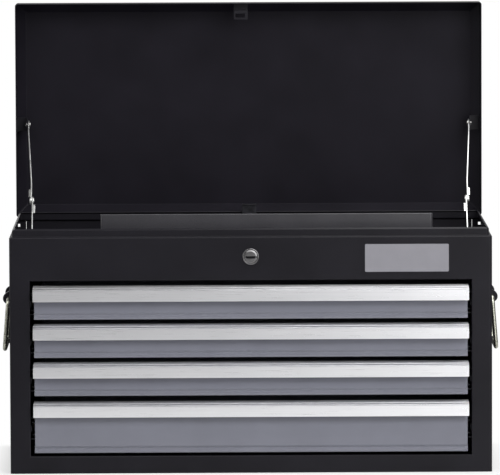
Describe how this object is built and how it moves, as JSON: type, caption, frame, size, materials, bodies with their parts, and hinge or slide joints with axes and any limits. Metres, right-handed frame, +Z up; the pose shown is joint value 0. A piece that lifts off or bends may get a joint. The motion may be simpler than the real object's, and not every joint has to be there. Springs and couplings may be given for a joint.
{
  "type": "machinist tool chest",
  "caption": "Sheet-steel top chest with a hinged lid over an open till, a lift-out tote tray and drawers on ball slides with full-width pull strips.",
  "frame": {"origin": "centre of the cabinet's underside", "axes": "+Z up, the drawer fronts face -Y, +X to the right as seen from the front"},
  "size_m": [0.6858, 0.3643, 0.6303],
  "materials": {
    "black_paint": "fine-textured satin powder coat",
    "drawer_paint": "semi-gloss blue-grey powder coat",
    "aluminium": "brushed along the length",
    "zinc_steel": "bright zinc plate",
    "black_zinc": "black zinc plate",
    "bright_plate": "polished zinc or chrome plate",
    "tray_paint": "satin dark grey paint",
    "label_foil": "blank satin foil"
  },
  "bodies": {
    "cabinet": {"left_side_panel": "black_paint", "right_side_panel": "black_paint", "back_panel": "black_paint", "bottom_panel": "black_paint", "front_frame": "black_paint", "top_rim": "black_paint", "compartment_floor": "black_paint", "left_carrier_wall": "black_paint", "right_carrier_wall": "black_paint", "cabinet_slide_rails": "black_zinc", "body_hinge_leaf": "zinc_steel", "hinge_pin": "zinc_steel", "stay_brackets": "black_paint", "stay_bracket_rivets": "zinc_steel", "lock_housing": "bright_plate", "lock_nut": "zinc_steel", "blank_label": "label_foil", "left_handle_plate": "black_paint", "right_handle_plate": "black_paint", "handle_rivets": "zinc_steel", "lock_bar_guides": "zinc_steel", "lock_bar_spring": "zinc_steel"},
    "lid": {"lid_shell": "black_paint", "stay_lid_brackets": "black_paint", "lid_hinge_leaf": "zinc_steel", "lid_striker": "black_paint", "lock_bar_pusher": "zinc_steel", "stay_lid_rivets": "zinc_steel"},
    "left_upper_bar": {"left_stay_upper_bar": "bright_plate"},
    "left_lower_bar": {"left_stay_lower_bar": "bright_plate"},
    "right_upper_bar": {"right_stay_upper_bar": "bright_plate"},
    "right_lower_bar": {"right_stay_lower_bar": "bright_plate"},
    "lock_bar": {"lock_bar": "zinc_steel"},
    "lock_plug": {"lock_plug": "bright_plate", "lock_cam": "zinc_steel", "cam_screw": "zinc_steel"},
    "left_bail": {"left_handle_bail": "bright_plate"},
    "right_bail": {"right_handle_bail": "bright_plate"},
    "tray": {"tote_tray": "tray_paint"},
    "drawer_1": {"drawer_1_pan": "drawer_paint", "drawer_1_front": "drawer_paint", "drawer_1_handle_strip": "aluminium", "drawer_1_rails": "black_zinc"},
    "cages_1": {"drawer_1_ball_cages": "zinc_steel"},
    "drawer_2": {"drawer_2_pan": "drawer_paint", "drawer_2_front": "drawer_paint", "drawer_2_handle_strip": "aluminium", "drawer_2_rails": "black_zinc"},
    "cages_2": {"drawer_2_ball_cages": "zinc_steel"},
    "drawer_3": {"drawer_3_pan": "drawer_paint", "drawer_3_front": "drawer_paint", "drawer_3_handle_strip": "aluminium", "drawer_3_rails": "black_zinc"},
    "cages_3": {"drawer_3_ball_cages": "zinc_steel"},
    "drawer_4": {"drawer_4_pan": "drawer_paint", "drawer_4_front": "drawer_paint", "drawer_4_handle_strip": "aluminium", "drawer_4_rails": "black_zinc"},
    "cages_4": {"drawer_4_ball_cages": "zinc_steel"}
  },
  "joints": [
    {"name": "lid_hinge", "type": "hinge", "parent": "cabinet", "child": "lid", "pos_m": [0, 0.1543, 0.325], "axis": [-1, 0, 0], "range_deg": [-90, 0]},
    {"name": "left_stay_foot", "type": "hinge", "parent": "cabinet", "child": "left_lower_bar", "pos_m": [-0.305, -0.0087, 0.274], "axis": [-1, 0, 0], "range_deg": [-117.6, 0]},
    {"name": "left_stay_lid_pin", "type": "hinge", "parent": "lid", "child": "left_upper_bar", "pos_m": [-0.313, 0.1763, 0.458], "axis": [-1, 0, 0], "range_deg": [0, 116.9]},
    {"name": "right_stay_foot", "type": "hinge", "parent": "cabinet", "child": "right_lower_bar", "pos_m": [0.305, -0.0087, 0.274], "axis": [-1, 0, 0], "range_deg": [-117.6, 0]},
    {"name": "right_stay_lid_pin", "type": "hinge", "parent": "lid", "child": "right_upper_bar", "pos_m": [0.313, 0.1763, 0.458], "axis": [-1, 0, 0], "range_deg": [0, 116.9]},
    {"name": "drawer_1_slide", "type": "slide", "parent": "cabinet", "child": "drawer_1", "axis": [0, -1, 0], "range_m": [0, 0.18]},
    {"name": "cages_1_roll", "type": "slide", "parent": "cabinet", "child": "cages_1", "axis": [0, -1, 0], "range_m": [0, 0.09]},
    {"name": "drawer_2_slide", "type": "slide", "parent": "cabinet", "child": "drawer_2", "axis": [0, -1, 0], "range_m": [0, 0.18]},
    {"name": "cages_2_roll", "type": "slide", "parent": "cabinet", "child": "cages_2", "axis": [0, -1, 0], "range_m": [0, 0.09]},
    {"name": "drawer_3_slide", "type": "slide", "parent": "cabinet", "child": "drawer_3", "axis": [0, -1, 0], "range_m": [0, 0.18]},
    {"name": "cages_3_roll", "type": "slide", "parent": "cabinet", "child": "cages_3", "axis": [0, -1, 0], "range_m": [0, 0.09]},
    {"name": "drawer_4_slide", "type": "slide", "parent": "cabinet", "child": "drawer_4", "axis": [0, -1, 0], "range_m": [0, 0.18]},
    {"name": "cages_4_roll", "type": "slide", "parent": "cabinet", "child": "cages_4", "axis": [0, -1, 0], "range_m": [0, 0.09]},
    {"name": "lock_bar_slide", "type": "slide", "parent": "cabinet", "child": "lock_bar", "axis": [0, 0, -1], "range_m": [0, 0.00801], "deforming": ["lock_bar_spring"]},
    {"name": "lock_turn", "type": "hinge", "parent": "cabinet", "child": "lock_plug", "pos_m": [0, -0.146, 0.2975], "axis": [0, 1, 0], "range_deg": [0, 90]},
    {"name": "left_bail_swing", "type": "hinge", "parent": "cabinet", "child": "left_bail", "pos_m": [-0.33445, 0, 0.232], "axis": [0, 1, 0], "range_deg": [0, 85]},
    {"name": "right_bail_swing", "type": "hinge", "parent": "cabinet", "child": "right_bail", "pos_m": [0.33445, 0, 0.232], "axis": [0, -1, 0], "range_deg": [0, 85]},
    {"name": "tray_lift", "type": "slide", "parent": "cabinet", "child": "tray", "axis": [0, 0, 1], "range_m": [0, 0.15]}
  ],
  "couplings": [
    {"joint": "left_stay_foot", "follows": "lid_hinge", "ratio": 1.3015},
    {"joint": "left_stay_lid_pin", "follows": "lid_hinge", "ratio": -1.2937},
    {"joint": "right_stay_foot", "follows": "lid_hinge", "ratio": 1.3015},
    {"joint": "right_stay_lid_pin", "follows": "lid_hinge", "ratio": -1.2937},
    {"joint": "cages_1_roll", "follows": "drawer_1_slide", "ratio": 0.5},
    {"joint": "cages_2_roll", "follows": "drawer_2_slide", "ratio": 0.5},
    {"joint": "cages_3_roll", "follows": "drawer_3_slide", "ratio": 0.5},
    {"joint": "cages_4_roll", "follows": "drawer_4_slide", "ratio": 0.5},
    {"joint": "lock_bar_slide", "follows": "lid_hinge", "m_per_rad": -0.005093}
  ]
}
